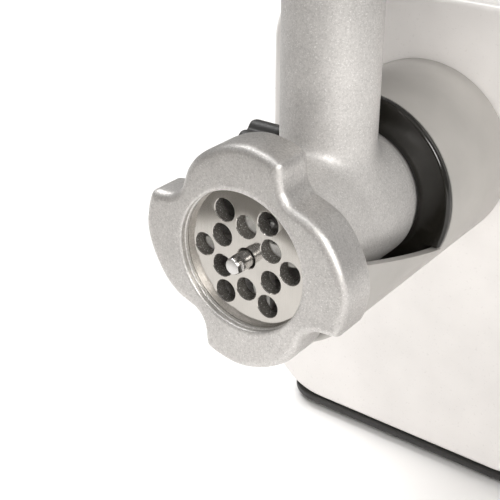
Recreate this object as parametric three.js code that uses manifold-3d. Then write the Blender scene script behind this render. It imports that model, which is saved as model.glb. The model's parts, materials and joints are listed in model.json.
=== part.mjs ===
// Electric meat grinder: cast head with screw ring, plate, knife and auger, on a geared motor housing.
// Millimetres, +Z up. The outlet faces -Y. The origin is on the table under the middle of the machine.
import * as THREE from 'three';
import { mergeVertices } from 'three/addons/utils/BufferGeometryUtils.js';
import Module from 'manifold-3d';

const wasm = await Module();
wasm.setup();

// ---------- driving dimensions ----------
const GAP = 0.3; // between touching neighbours
const AXIS_HEIGHT = 150; // auger axis above the table

// Head. Lengths along the axis are counted from the plate's front face, + to the rear.
const PLATE = { radius: 27, thickness: 5, hole: 4, centre: 3.6, inner: 11.4, outer: 17.35 };
const KEY = { half: 1.9, front: 2.4, depth: 2.2, play: 0.4 }; // holds the plate still in the barrel
const PIN = { radius: 3.1, reach: 7.4, rear: 23.5, tip: 0.6 };
const RING = { front: -3.7, rear: 11, mouth: 24.65, seat: 27.4, thread: 29.6, edge: 3 };
const BARREL = { front: 1, thread: 29.2, neck: 25.7, bore: 22.6, end: 68, spigot: 24.2, tail: 86 };
const AUGER = { radius: 22.1, root: 10, front: 11.2, rear: 64, turns: 2.75, halfWidth: 2.2 };
const SHANK = { radius: 6.8, depth: 7.5, end: 100 };
const WASHER = { radius: 14, bore: 7.4, thickness: 1.4 };
const KNIFE = { front: 5.3, rear: 10.6, reach: 22, hub: 8, square: 4, turn: 8 };
const TUBE = { y: 47, radius: 17, bore: 13.5, top: 100, lip: 19.8, socket: 16 };
const TRAY = { width: 190, depth: 124, height: 24, wall: 2, corner: 40, y: 56 };
const PUSHER = { radius: 12.8, bottom: 42, flange: 17.5, top: 160, cap: 21 };

// Housing.
const NOSE = { radius: 37.4, inner: 34.4, front: 72, liner: 31.5 };
const CRADLE = { front: 14, rimFront: 3.6, rimRear: -16, linerDrop: 13 };
const BODY = { front: 122, rear: 288, width: 150, top: 62, bottom: -142, corner: 30, wall: 2.8 };
const COVER = 4; // thickness of the front panel, rear cover and base plate
const SHAFT_CLEARANCE = 18; // radius of the front panel's hole
const VENTS = { count: 9, half: 45, lowest: -112, pitch: 12, height: 4 };
const INLET = { reach: 9, radius: 8, bore: 3.6, z: -128 };
const LOCK = { y: 79, stem: 4, hole: 4.5, knob: 11, knobLength: 16 };
const ROCKER = { y: 176, z: -10, length: 24, width: 14, reach: 2.5, border: 4 };
const BUTTON = { y: 216, z: -10, radius: 6.5, reach: 3.5 };
const CONTROL_BOARD = { x0: -60, x1: 2, y0: 196, y1: 262, z0: -4, z1: -2 };
const HANDLE = { front: 150, rear: 270, foot: 14, rise: 30, grip: 11, half: 13 };
const FOOT = { radius: 11, inset: 18, screwStep: 24 };

// Gear train: shaft centres across (x) and up (z) from the auger axis, and one layer per stage.
const OUT = { x: 0, z: 0 };
const IDLER_B = { x: 27, z: -36 };
const IDLER_A = { x: -9, z: -46.5 };
const MOTOR = { x: 12, z: -74.5, radius: 38, front: 176, rear: 236, armature: 22, commutator: 12 };
const FAN = { blades: 8, hub: 8, reach: 30, width: 7 };
const STAGE_3 = { module: 2.25, pinion: 8, gear: 32, y: 128, width: 12 };
const STAGE_2 = { module: 1.875, pinion: 8, gear: 32, y: 143.5, width: 9 };
const STAGE_1 = { module: 35 / 24, pinion: 8, gear: 40, y: 156, width: 8 };
const GEAR_PLATES = { front: 123, rear: 167, thickness: 3.5, outline: [-46, 48, -92, 24], corner: 14 };
const SHAFT = { front: 11, rear: 8, socket: 7.3 }; // radii of the output shaft and of its hexagonal socket
const SPINDLE = { idlerB: 4, idlerA: 3.5, motor: 2.5 }; // radii

const REAR_MOST = BODY.rear + GAP + COVER + INLET.reach;
const PLATE_Y = -(REAR_MOST - PIN.reach) / 2;

// ---------- materials ----------
const finish = (color, roughness, metalness) =>
  new THREE.MeshStandardMaterial({ color, roughness, metalness });
const CAST = finish(0xb4b2b0, 0.45, 0.9);
const POLISHED = finish(0xd2cec8, 0.15, 1);
const STEEL = finish(0xa9abad, 0.3, 1);
const LIGHT_GREY = finish(0xb9b8b5, 0.5, 0.1);
const WHITE = finish(0xe9e7e2, 0.35, 0);
const BLACK = finish(0x14120e, 0.3, 0);
const RUBBER = finish(0x1c1c1c, 0.85, 0);
const NYLON = finish(0xe6e2d6, 0.5, 0);
const COPPER = finish(0xa5643a, 0.4, 1);
const BOARD = finish(0x2e6b3f, 0.6, 0);

// ---------- solids ----------
function solid(geometry) {
  const bare = geometry.clone();
  bare.deleteAttribute('normal');
  bare.deleteAttribute('uv');
  const merged = mergeVertices(bare, 1e-4);
  return new wasm.Manifold(new wasm.Mesh({
    numProp: 3,
    vertProperties: new Float32Array(merged.attributes.position.array),
    triVerts: new Uint32Array(merged.index.array),
  }));
}

function geometryOf(body) {
  const { vertProperties, triVerts } = body.getMesh();
  const geometry = new THREE.BufferGeometry();
  geometry.setAttribute('position', new THREE.BufferAttribute(new Float32Array(vertProperties), 3));
  geometry.setIndex(new THREE.BufferAttribute(new Uint32Array(triVerts), 1));
  geometry.computeVertexNormals();
  return geometry;
}

const join = (first, ...others) => others.reduce((sum, body) => sum.add(body), first);
const cut = (first, ...others) => others.reduce((rest, body) => rest.subtract(body), first);

function block(x0, x1, y0, y1, z0, z1) {
  const geometry = new THREE.BoxGeometry(x1 - x0, y1 - y0, z1 - z0);
  return solid(geometry.translate((x0 + x1) / 2, (y0 + y1) / 2, (z0 + z1) / 2));
}

// Round bars along Y, X and Z.
function barY(radius, y0, y1, at = OUT, segments = 24) {
  const geometry = new THREE.CylinderGeometry(radius, radius, y1 - y0, segments);
  return solid(geometry.translate(at.x, (y0 + y1) / 2, at.z));
}

function barX(radius, x0, x1, y, z, segments = 20) {
  const geometry = new THREE.CylinderGeometry(radius, radius, x1 - x0, segments);
  return solid(geometry.rotateZ(Math.PI / 2).translate((x0 + x1) / 2, y, z));
}

function barZ(radius, z0, z1, x, y, segments = 24) {
  const geometry = new THREE.CylinderGeometry(radius, radius, z1 - z0, segments);
  return solid(geometry.rotateX(Math.PI / 2).translate(x, y, (z0 + z1) / 2));
}

const tubeY = (outer, inner, y0, y1, at = OUT, segments = 24) =>
  cut(barY(outer, y0, y1, at, segments), barY(inner, y0 - 1, y1 + 1, at, segments));

// A turned shape around the auger axis: [radius, y] points, from the axis back to the axis.
function turnedY(points, segments = 32) {
  return solid(new THREE.LatheGeometry(points.map(([r, y]) => new THREE.Vector2(r, y)), segments));
}

// A turned shape around an upright axis: [radius, z] points.
function turnedZ(points, x, y, segments = 24) {
  const geometry = new THREE.LatheGeometry(points.map(([r, z]) => new THREE.Vector2(r, z)), segments);
  return solid(geometry.rotateX(Math.PI / 2).translate(x, y, 0));
}

// An outline drawn in x and z, pushed along Y from y0 to y1, with an optional rounded edge.
function prismY(shape, y0, y1, edge = 0, curveSegments = 6) {
  const geometry = new THREE.ExtrudeGeometry(shape, {
    depth: y1 - y0 - 2 * edge,
    curveSegments,
    bevelEnabled: edge > 0,
    bevelThickness: edge,
    bevelSize: edge,
    bevelOffset: -edge,
    bevelSegments: 2,
  });
  return solid(geometry.rotateX(Math.PI / 2).translate(0, y1 - edge, 0));
}

// An outline drawn in y and z, pushed along X.
function prismX(shape, x0, x1) {
  const geometry = new THREE.ExtrudeGeometry(shape,
    { depth: x1 - x0, bevelEnabled: false, curveSegments: 4 });
  const turn = new THREE.Matrix4().makeBasis(
    new THREE.Vector3(0, 1, 0), new THREE.Vector3(0, 0, 1), new THREE.Vector3(1, 0, 0));
  return solid(geometry.applyMatrix4(turn).translate(x0, 0, 0));
}

// An outline drawn in x and y, pushed up.
function prismZ(shape, z0, z1, curveSegments = 6) {
  const geometry = new THREE.ExtrudeGeometry(shape, { depth: z1 - z0, bevelEnabled: false, curveSegments });
  return solid(geometry.translate(0, 0, z0));
}

function roundedRectangle(x0, x1, y0, y1, r) {
  const shape = new THREE.Shape();
  shape.moveTo(x0 + r, y0);
  shape.lineTo(x1 - r, y0);
  shape.absarc(x1 - r, y0 + r, r, -Math.PI / 2, 0);
  shape.lineTo(x1, y1 - r);
  shape.absarc(x1 - r, y1 - r, r, 0, Math.PI / 2);
  shape.lineTo(x0 + r, y1);
  shape.absarc(x0 + r, y1 - r, r, Math.PI / 2, Math.PI);
  shape.lineTo(x0, y0 + r);
  shape.absarc(x0 + r, y0 + r, r, Math.PI, 1.5 * Math.PI);
  return shape;
}

const polar = (radius, degrees) => new THREE.Vector2(
  radius * Math.cos(THREE.MathUtils.degToRad(degrees)),
  radius * Math.sin(THREE.MathUtils.degToRad(degrees)));

// ---------- scene graph ----------
const grinder = new THREE.Group();
const machine = new THREE.Group();
machine.position.set(0, PLATE_Y, AXIS_HEIGHT);
grinder.add(machine);

function place(name, body, material) {
  const mesh = new THREE.Mesh(geometryOf(body), material);
  mesh.name = name;
  machine.add(mesh);
}

// ---------- head ----------
// The ring's outline is a pinwheel: each lobe swells slowly, ends in a round corner and drops steeply
// into a notch. One quarter, as [degrees, radius], starts at the notch floor and runs down to the corner.
function pinwheelOutline() {
  const back = [[52, 31.8], [43, 33.6], [33, 36.2], [21, 38.1], [9, 39.8], [-3, 41], [-14, 40.7],
    [-21.5, 40.7]];
  const flank = [[-24.5, 37.8], [-28, 34.4], [-32, 32.5]];
  const points = [];
  for (let quarter = 3; quarter >= 0; quarter--) {
    for (const [degrees, radius] of [...back, ...flank]) points.push(polar(radius, degrees + 90 * quarter));
  }
  return new THREE.Shape(points.reverse());
}

function makeRingNut() {
  const outline = pinwheelOutline();
  const rounded = prismY(outline, RING.front, RING.rear - 1, RING.edge);
  const back = prismY(outline, RING.front + 2 * RING.edge, RING.rear);
  const mouth = barY(RING.mouth, RING.front - 1, 1, OUT, 36);
  const seat = barY(RING.seat, -GAP, 2, OUT, 36);
  const thread = barY(RING.thread, BARREL.front - GAP, RING.rear + 1, OUT, 36);
  place('ring_nut', cut(join(rounded, back), mouth, seat, thread), CAST);
}

function makeGrindingPlate() {
  const holes = [barY(PLATE.centre, -1, PLATE.thickness + 1, OUT, 16)];
  for (let i = 0; i < 6; i++) {
    for (const [ring, turn] of [[PLATE.inner, 30], [PLATE.outer, 0]]) {
      const centre = polar(ring, turn + 60 * i);
      holes.push(barY(PLATE.hole, -1, PLATE.thickness + 1, { x: centre.x, z: centre.y }, 14));
    }
  }
  const { half, front, depth, play } = KEY;
  const notch = block(-half - play, half + play, front - play, PLATE.thickness + 1,
    PLATE.radius - depth - play, PLATE.radius + 1);
  const disc = barY(PLATE.radius, 0, PLATE.thickness, OUT, 36);
  place('grinding_plate', cut(disc, notch, ...holes), POLISHED);
  place('plate_key', block(-half, half, front, PLATE.thickness, PLATE.radius - depth, PLATE.radius + 0.1),
    STEEL);
}

function makeCrossKnife() {
  const arm = new THREE.Shape([
    new THREE.Vector2(0, -3.5), new THREE.Vector2(KNIFE.reach - 1, -2.6), new THREE.Vector2(KNIFE.reach, 0),
    new THREE.Vector2(KNIFE.reach - 1, 3.4), new THREE.Vector2(0, 5),
  ]);
  let knife = barY(KNIFE.hub, KNIFE.front, KNIFE.rear, OUT, 24);
  for (let i = 0; i < 4; i++) {
    const turn = new THREE.Matrix4().makeRotationY(-THREE.MathUtils.degToRad(90 * i + KNIFE.turn));
    knife = knife.add(prismY(arm, KNIFE.front, KNIFE.rear - 1).transform(turn.elements));
  }
  const side = KNIFE.square + GAP;
  place('cross_knife', cut(knife, block(-side, side, 0, 20, -side, side)), STEEL);
}

// The auger's flight is a helical fin: a strip wound round the core, closed at both ends.
function augerFlight() {
  const { radius, root, front, rear, turns, halfWidth } = AUGER;
  const steps = Math.round(turns * 16);
  const positions = [];
  const indices = [];
  for (let i = 0; i <= steps; i++) {
    const part = i / steps;
    const angle = part * turns * 2 * Math.PI;
    const y = front + halfWidth + part * (rear - front - 2 * halfWidth);
    for (const [r, dy] of [[root - 2, -halfWidth], [radius, -1], [radius, 1], [root - 2, halfWidth]]) {
      positions.push(r * Math.cos(angle), y + dy, r * Math.sin(angle));
    }
  }
  for (let i = 0; i < steps; i++) {
    for (let k = 0; k < 4; k++) {
      const a = 4 * i + k;
      const b = 4 * i + (k + 1) % 4;
      indices.push(a, b, a + 4, b, b + 4, a + 4);
    }
  }
  const end = 4 * steps;
  indices.push(0, 2, 1, 0, 3, 2, end, end + 1, end + 2, end, end + 2, end + 3);
  const geometry = new THREE.BufferGeometry();
  geometry.setAttribute('position', new THREE.BufferAttribute(new Float32Array(positions), 3));
  geometry.setIndex(indices);
  return solid(geometry);
}

function makeAuger() {
  const side = KNIFE.square;
  const core = turnedY([[0, AUGER.front], [AUGER.root, AUGER.front], [AUGER.root + 2.5, AUGER.rear - 3],
    [AUGER.root + 2.5, AUGER.rear], [0, AUGER.rear]], 24);
  const pinHole = barY(PIN.radius + GAP, 0, PIN.rear + 0.5, OUT, 20);
  const shankHole = barY(SHANK.radius + 0.4, AUGER.rear - SHANK.depth - 0.5, AUGER.rear + 1, OUT, 6);
  place('auger', cut(join(core, augerFlight()), pinHole, shankHole), CAST);

  const square = block(-side, side, KNIFE.front - 0.1, AUGER.front - GAP, -side, side);
  const stud = barY(PIN.radius, 1 - PIN.reach, PIN.rear, OUT, 20);
  const tip = barY(PIN.radius - PIN.tip, -PIN.reach, 2, OUT, 20);
  place('auger_pin', join(square, stud, tip), STEEL);

  place('auger_shank', barY(SHANK.radius, AUGER.rear - SHANK.depth, SHANK.end, OUT, 6), STEEL);
  const washerFront = AUGER.rear + GAP;
  place('auger_washer', tubeY(WASHER.radius, WASHER.bore, washerFront, washerFront + WASHER.thickness),
    NYLON);
}

function makeHeadBody() {
  const outside = turnedY([[0, BARREL.front], [BARREL.thread, BARREL.front], [BARREL.thread, 13],
    [28.2, 17], [26.6, 26], [BARREL.neck, 38], [BARREL.neck, BARREL.end - 2],
    [BARREL.neck - 0.5, BARREL.end - 0.6], [BARREL.spigot, BARREL.end], [BARREL.spigot, BARREL.tail],
    [0, BARREL.tail]], 36);
  const tube = turnedZ([[0, 10], [TUBE.radius + 2, 15], [TUBE.radius, 26], [TUBE.radius, TUBE.top - 18],
    [TUBE.lip, TUBE.top - 12], [TUBE.lip, TUBE.top], [0, TUBE.top]], 0, TUBE.y, 32);
  const counterbore = barY(PLATE.radius + GAP, 0, PLATE.thickness + 0.1, OUT, 36);
  const bore = barY(BARREL.bore, 0, AUGER.rear + 2, OUT, 36);
  const shaftHole = barY(9, AUGER.rear, BARREL.tail + 1, OUT, 24);
  const feed = barZ(TUBE.bore, 0, TUBE.top + 1, 0, TUBE.y, 24);
  const socket = barZ(TUBE.socket, TUBE.top - 8, TUBE.top + 1, 0, TUBE.y, 24);
  place('head_body', cut(join(outside, tube), counterbore, bore, shaftHole, feed, socket), CAST);
}

function makeHopperTray() {
  const { width, depth, height, wall, corner, y } = TRAY;
  const floor = TUBE.top + GAP;
  const outer = roundedRectangle(-width / 2, width / 2, y - depth / 2, y + depth / 2, corner);
  const inner = roundedRectangle(wall - width / 2, width / 2 - wall, y - depth / 2 + wall,
    y + depth / 2 - wall, corner - wall);
  const dish = cut(prismZ(outer, floor, floor + height, 8),
    prismZ(inner, floor + wall, floor + height + 1, 8));
  const neck = barZ(TUBE.socket - 0.4, TUBE.top - 7.5, floor + 1, 0, TUBE.y, 24);
  const drop = barZ(TUBE.bore, TUBE.top - 10, floor + wall + 1, 0, TUBE.y, 24);
  place('hopper_tray', cut(join(dish, neck), drop), STEEL);
}

function makePusher() {
  const seat = TUBE.top + GAP + TRAY.wall + GAP;
  const { radius, bottom, flange, top, cap } = PUSHER;
  place('pusher', turnedZ([[0, bottom], [radius - 2, bottom], [radius, bottom + 2], [radius, seat],
    [flange, seat], [flange, seat + 3], [13, seat + 9], [12, top - 18], [15, top], [0, top]],
  0, TUBE.y), NYLON);
  place('pusher_cap', turnedZ([[0, top + GAP], [cap - 2, top + GAP], [cap, top + 3], [cap, top + 7],
    [cap - 5, top + 11], [0, top + 12]], 0, TUBE.y), BLACK);
}

// ---------- housing ----------
// The nose is a tube round the output shaft whose lower half runs on forward as a cradle under the
// barrel. The cradle's sides drop towards the rear.
function cradleSpace(drop = 0) {
  const side = new THREE.Shape([
    new THREE.Vector2(CRADLE.front, CRADLE.rimFront - drop), new THREE.Vector2(CRADLE.front, -60),
    new THREE.Vector2(NOSE.front + 0.2, -60), new THREE.Vector2(NOSE.front + 0.2, CRADLE.rimRear - drop),
  ]);
  return prismX(side, -60, 60);
}

function makeNose() {
  const cradle = tubeY(NOSE.radius, NOSE.inner, CRADLE.front, NOSE.front + 0.2, OUT, 36)
    .intersect(cradleSpace());
  const tube = tubeY(NOSE.radius, NOSE.inner, NOSE.front, BODY.front - COVER - 2 * GAP, OUT, 36);
  const lockHole = barX(LOCK.hole, -60, 0, LOCK.y, 0);
  place('gear_nose', cut(join(cradle, tube), lockHole), LIGHT_GREY);

  const liner = tubeY(NOSE.inner - GAP, NOSE.liner, CRADLE.front + 4, NOSE.front - 4, OUT, 36);
  place('cradle_liner', liner.intersect(cradleSpace(CRADLE.linerDrop)), LIGHT_GREY);

  const sleeve = tubeY(NOSE.inner - GAP, BARREL.spigot + 0.4, NOSE.front + 0.5, BARREL.tail + 1, OUT, 36);
  const face = tubeY(NOSE.radius, BARREL.spigot + 0.4, BARREL.end + 0.5, NOSE.front - GAP, OUT, 36);
  const skirt = tubeY(NOSE.liner - GAP, BARREL.spigot + 0.4, BARREL.end + 0.5, NOSE.front + 1, OUT, 36);
  const collar = join(sleeve, face.intersect(block(-50, 50, 0, 100, CRADLE.rimRear + 2, 50)), skirt);
  place('socket_collar', cut(collar, barX(LOCK.hole, -60, 0, LOCK.y, 0)), BLACK);
}

function makeLock() {
  const knobAt = NOSE.radius + 5;
  place('lock_stem', barX(LOCK.stem, -knobAt - 4, -BARREL.spigot - 0.6, LOCK.y, 0), STEEL);
  let knob = barX(LOCK.knob, -knobAt - LOCK.knobLength, -knobAt, LOCK.y, 0, 30);
  for (let i = 0; i < 5; i++) {
    const notch = polar(LOCK.knob + 2, 72 * i + 36);
    knob = knob.subtract(barX(4.5, -knobAt - 20, -knobAt + 4, LOCK.y + notch.x, notch.y, 16));
  }
  place('lock_knob', cut(knob, barX(LOCK.stem + GAP, -knobAt - 4.5, 0, LOCK.y, 0)), BLACK);
}

function makeShells() {
  const half = BODY.width / 2;
  const outline = (inset) => roundedRectangle(-half + inset, half - inset, BODY.bottom + inset,
    BODY.top - inset, BODY.corner - inset);
  const shell = cut(prismY(outline(0), BODY.front, BODY.rear),
    prismY(outline(BODY.wall), BODY.front - 1, BODY.rear + 1));
  const rockerHole = block(half - 6, half + 1, ROCKER.y - ROCKER.length / 2 - 2,
    ROCKER.y + ROCKER.length / 2 + 2, ROCKER.z - ROCKER.width / 2 - 2, ROCKER.z + ROCKER.width / 2 + 2);
  const buttonHole = barX(BUTTON.radius + 2.5, half - 6, half + 1, BUTTON.y, BUTTON.z);
  place('left_shell', shell.intersect(block(-200, -GAP / 2, 0, 400, -200, 200)), WHITE);
  place('right_shell', cut(shell.intersect(block(GAP / 2, 200, 0, 400, -200, 200)), rockerHole, buttonHole),
    WHITE);

  const panel = prismY(outline(0), BODY.front - GAP - COVER, BODY.front - GAP);
  place('front_panel', cut(panel, barY(SHAFT_CLEARANCE, 100, 140)), WHITE);

  const coverFront = BODY.rear + GAP;
  const slots = [];
  for (let i = 0; i < VENTS.count; i++) {
    const z = VENTS.lowest + VENTS.pitch * i;
    slots.push(block(-VENTS.half, VENTS.half, coverFront - 1, coverFront + COVER + 1, z, z + VENTS.height));
  }
  place('rear_cover', cut(prismY(outline(0), coverFront, coverFront + COVER), ...slots,
    barY(INLET.radius - 2.5, coverFront - 1, coverFront + COVER + 1, { x: 0, z: INLET.z })), BLACK);
}

function makeBase() {
  const y0 = BODY.front - GAP - COVER;
  const y1 = BODY.rear + GAP + COVER;
  const half = BODY.width / 2 - 8; // the plate stays inside the body's rounded lower corners
  const top = BODY.bottom - GAP;
  place('base_plate', prismZ(roundedRectangle(-half, half, y0, y1, 18), top - COVER, top), BLACK);
  const under = top - COVER - GAP;
  for (const [side, x] of [['left', -half + 16], ['right', half - 16]]) {
    for (const [end, y] of [['front', y0 + FOOT.inset], ['rear', y1 - FOOT.inset]]) {
      place(`foot_${end}_${side}`, turnedZ([[0, -AXIS_HEIGHT], [FOOT.radius - 1.5, -AXIS_HEIGHT],
        [FOOT.radius, under], [0, under]], x, y, 20), RUBBER);
      const screwY = end === 'front' ? y + FOOT.screwStep : y - FOOT.screwStep;
      place(`base_screw_${end}_${side}`, turnedZ([[0, under - 1.8], [3, under - 1.8], [3.6, under - 0.6],
        [3.6, under], [0, under]], x, screwY, 16), STEEL);
    }
  }
}

function makeHandle() {
  const { front, rear, foot, rise, grip, half } = HANDLE;
  const base = BODY.top + GAP;
  const top = base + rise;
  const under = top - grip;
  const shape = new THREE.Shape();
  shape.moveTo(front, base);
  shape.bezierCurveTo(front + 2, top - 4, front + 10, top, front + 26, top);
  shape.lineTo(rear - 26, top);
  shape.bezierCurveTo(rear - 10, top, rear - 2, top - 4, rear, base);
  shape.lineTo(rear - foot, base);
  shape.bezierCurveTo(rear - foot - 2, under - 3, rear - foot - 6, under, rear - foot - 14, under);
  shape.lineTo(front + foot + 14, under);
  shape.bezierCurveTo(front + foot + 6, under, front + foot + 2, under - 3, front + foot, base);
  place('carry_handle', prismX(shape, -half, half), BLACK);
}

function makeControls() {
  const half = BODY.width / 2;
  const { y, z, length, width, reach, border } = ROCKER;
  const around = (margin, corner) => roundedRectangle(y - length / 2 - margin, y + length / 2 + margin,
    z - width / 2 - margin, z + width / 2 + margin, corner);
  const frame = cut(prismX(around(border, 4), half + GAP, half + 2),
    prismX(around(0.6, 1), half - 4, half + 4));
  place('rocker_bezel', frame, BLACK);
  const rocker = new THREE.Shape([
    new THREE.Vector2(y - length / 2 + 0.8, half - 2), new THREE.Vector2(y - length / 2 + 0.8, half + 1.2),
    new THREE.Vector2(y, half + 0.4), new THREE.Vector2(y + length / 2 - 0.8, half + reach + 1.6),
    new THREE.Vector2(y + length / 2 - 0.8, half - 2),
  ].map((p) => new THREE.Vector2(p.y, p.x)).reverse());
  place('power_rocker', prismZ(rocker, z - width / 2 + 0.3, z + width / 2 - 0.3), BLACK);
  place('switch_body', block(half - 24, half - 5.5, y - 11, y + 11, z - 6.5, z + 6.5), BLACK);

  const at = BUTTON;
  place('button_bezel', cut(barX(at.radius + 4, half + GAP, half + 2, at.y, at.z),
    barX(at.radius + 0.5, half - 1, half + 4, at.y, at.z)), BLACK);
  place('reverse_button', join(barX(at.radius, half - 3, half + at.reach, at.y, at.z),
    barX(2, half - 9, half - 2, at.y, at.z, 16)), RUBBER);
  place('button_spring', cut(barX(4.2, half - 10, half - 6.3, at.y, at.z, 16),
    barX(3, half - 12, half, at.y, at.z, 16)), STEEL);
  place('button_switch', block(half - 20, half - 12.5, at.y - 6, at.y + 6, at.z - 5, at.z + 5), BLACK);

  const rear = BODY.rear + COVER + 2 * GAP;
  place('cord_inlet', cut(barY(INLET.radius, rear, REAR_MOST, { x: 0, z: INLET.z }, 24),
    barY(INLET.bore, rear - 1, REAR_MOST + 1, { x: 0, z: INLET.z }, 16)), RUBBER);
  const { x0, x1, y0, y1, z0, z1 } = CONTROL_BOARD;
  place('control_board', block(x0, x1, y0, y1, z0, z1), BOARD);
}

// ---------- drive ----------
// Straight-sided teeth, thin enough at the pitch line to run freely.
function gearOutline(teeth, module, turn) {
  const pitch = teeth * module / 2;
  const points = [];
  for (let i = 0; i < teeth; i++) {
    const step = 360 / teeth;
    const at = turn + i * step;
    const root = pitch - 1.2 * module;
    const tip = pitch + 0.8 * module;
    points.push(polar(root, at - 0.28 * step), polar(tip, at - 0.11 * step),
      polar(tip, at + 0.11 * step), polar(root, at + 0.28 * step));
  }
  return new THREE.Shape(points);
}

function gear(teeth, stage, at, turn, bore) {
  const wheel = prismY(gearOutline(teeth, stage.module, turn), stage.y, stage.y + stage.width);
  const placed = wheel.translate([at.x, 0, at.z]);
  return bore > 0 ? cut(placed, barY(bore, stage.y - 1, stage.y + stage.width + 1, at, 20)) : placed;
}

// Two wheels mesh when a tooth of one points at a gap of the other along the line of centres.
const toothTowards = (from, to) => THREE.MathUtils.radToDeg(Math.atan2(to.z - from.z, to.x - from.x));
const gapTowards = (from, to, teeth) => toothTowards(from, to) + 180 / teeth;

function makeGears() {
  const shaftEnd = GEAR_PLATES.rear + GEAR_PLATES.thickness;
  const shaft = cut(join(barY(SHAFT.front, 89, 118, OUT, 32), barY(SHAFT.rear, 110, shaftEnd, OUT, 24)),
    barY(SHAFT.socket, 88, 104, OUT, 6));
  place('output_shaft', shaft, STEEL);
  place('output_gear', gear(STAGE_3.gear, STAGE_3, OUT,
    gapTowards(OUT, IDLER_B, STAGE_3.gear), SHAFT.rear + GAP), STEEL);
  place('front_bush', tubeY(16.5, SHAFT.front + 0.4, 96, 112, OUT, 24), COPPER);

  const spindle = (at, radius, y0, y1) => barY(radius, y0, y1, at, 16);
  const fromFront = GEAR_PLATES.front + 1;
  place('idler_b_pinion', join(
    gear(STAGE_3.pinion, STAGE_3, IDLER_B, toothTowards(IDLER_B, OUT), 0),
    spindle(IDLER_B, SPINDLE.idlerB, fromFront, shaftEnd - 1)), STEEL);
  place('idler_b_gear', gear(STAGE_2.gear, STAGE_2, IDLER_B,
    gapTowards(IDLER_B, IDLER_A, STAGE_2.gear), SPINDLE.idlerB + GAP), NYLON);
  place('idler_a_pinion', join(
    gear(STAGE_2.pinion, STAGE_2, IDLER_A, toothTowards(IDLER_A, IDLER_B), 0),
    spindle(IDLER_A, SPINDLE.idlerA, fromFront, shaftEnd - 1)), STEEL);
  place('idler_a_gear', gear(STAGE_1.gear, STAGE_1, IDLER_A,
    gapTowards(IDLER_A, MOTOR, STAGE_1.gear), SPINDLE.idlerA + GAP), NYLON);

  const plate = (name, y, hole) => {
    const outline = roundedRectangle(...GEAR_PLATES.outline, GEAR_PLATES.corner);
    const holes = [[hole, OUT], [SPINDLE.idlerB + 0.4, IDLER_B], [SPINDLE.idlerA + 0.4, IDLER_A],
      [7, MOTOR]].map(([radius, at]) => barY(radius, y - 1, y + 9, at, 20));
    place(name, cut(prismY(outline, y, y + GEAR_PLATES.thickness), ...holes), CAST);
  };
  plate('gearbox_front_plate', GEAR_PLATES.front, SHAFT.rear + 1);
  plate('gearbox_rear_plate', GEAR_PLATES.rear, SHAFT.rear + 0.4);
}

function makeMotor() {
  const { radius, front, rear, armature, commutator } = MOTOR;
  place('motor_pinion', gear(STAGE_1.pinion, STAGE_1, MOTOR, toothTowards(MOTOR, IDLER_A),
    SPINDLE.motor + GAP), STEEL);
  place('motor_shaft', barY(SPINDLE.motor, STAGE_1.y - 1, rear + 40, MOTOR, 16), STEEL);
  place('armature', tubeY(armature, SPINDLE.motor + GAP, front + 6, rear - 8, MOTOR, 28), STEEL);
  place('commutator', tubeY(commutator, SPINDLE.motor + GAP, rear - 2, rear + 12, MOTOR, 24), COPPER);
  place('motor_stator', tubeY(radius, armature + 1, front, rear - 4, MOTOR, 24), STEEL);

  const fanFront = rear + 26;
  let fan = barY(FAN.hub, fanFront, fanFront + FAN.width + 1, MOTOR, 20);
  for (let i = 0; i < FAN.blades; i++) {
    const turn = new THREE.Matrix4().makeRotationY(2 * Math.PI * i / FAN.blades);
    const blade = block(FAN.hub - 3, FAN.reach, fanFront, fanFront + FAN.width, -1, 1);
    fan = fan.add(blade.transform(turn.elements).translate([MOTOR.x, 0, MOTOR.z]));
  }
  place('cooling_fan', cut(fan, barY(SPINDLE.motor + GAP, rear + 20, rear + 40, MOTOR, 16)), NYLON);

  const strap = roundedRectangle(MOTOR.x - radius, MOTOR.x + radius, MOTOR.z - 9, MOTOR.z + 9, 8);
  const bracket = cut(prismY(strap, rear + 16, rear + 20), barY(3, rear, rear + 30, MOTOR, 16));
  place('motor_bracket', bracket, STEEL);
  for (const [side, sign] of [['left', -1], ['right', 1]]) {
    const inner = MOTOR.x + sign * (commutator + 0.5);
    const outer = MOTOR.x + sign * 30;
    place(`brush_holder_${side}`, block(Math.min(inner, outer), Math.max(inner, outer), rear + 2, rear + 10,
      MOTOR.z - 4, MOTOR.z + 4), COPPER);
  }
}

makeRingNut();
makeGrindingPlate();
makeCrossKnife();
makeAuger();
makeHeadBody();
makeHopperTray();
makePusher();
makeNose();
makeLock();
makeShells();
makeBase();
makeHandle();
makeControls();
makeGears();
makeMotor();

export default grinder;
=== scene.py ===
"""The electric meat grinder's looks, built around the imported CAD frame.

Pieces are modelled in machine millimetres: x across, y back from the grinding plate's front face, z up
from the auger axis. to_frame() turns them into the frame's metres.
"""

import json
import math

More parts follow.
